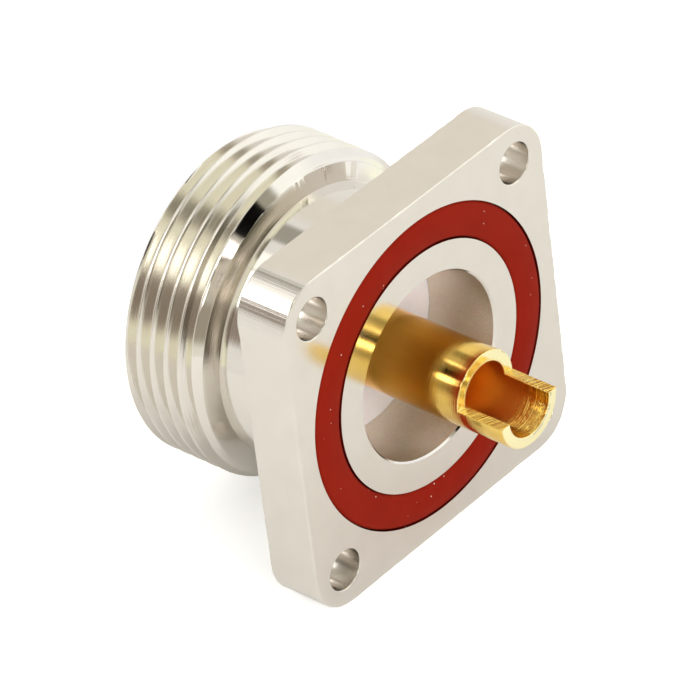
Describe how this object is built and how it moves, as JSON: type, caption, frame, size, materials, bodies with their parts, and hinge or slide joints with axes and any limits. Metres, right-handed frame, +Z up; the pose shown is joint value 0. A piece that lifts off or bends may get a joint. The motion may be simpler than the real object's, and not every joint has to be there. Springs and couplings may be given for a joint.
{
  "type": "coaxial flange connector",
  "caption": "Square-flange coaxial panel socket with a threaded barrel, a PTFE insulator, a gold-plated contact with a half-cut solder cup, and a red face seal ring.",
  "frame": {"origin": "centre of the mounting hole square, in the plane of the flange's sealing face", "axes": "-Y points out of the mating end, +Y out of the solder cup, and +Z is up, square to a flange edge; the cup is cut open towards +Z"},
  "size_m": [0.0324, 0.0312, 0.0324],
  "materials": {
    "plated_body": "bright white-bronze plate on turned and milled brass",
    "ptfe": "satin, turned",
    "gold_plate": "bright gold plate with fine turning marks",
    "silicone": "satin moulded silicone"
  },
  "bodies": {
    "root": {"connector_body": "plated_body", "insulator": "ptfe", "centre_contact": "gold_plate", "seal_ring": "silicone"}
  },
  "joints": []
}
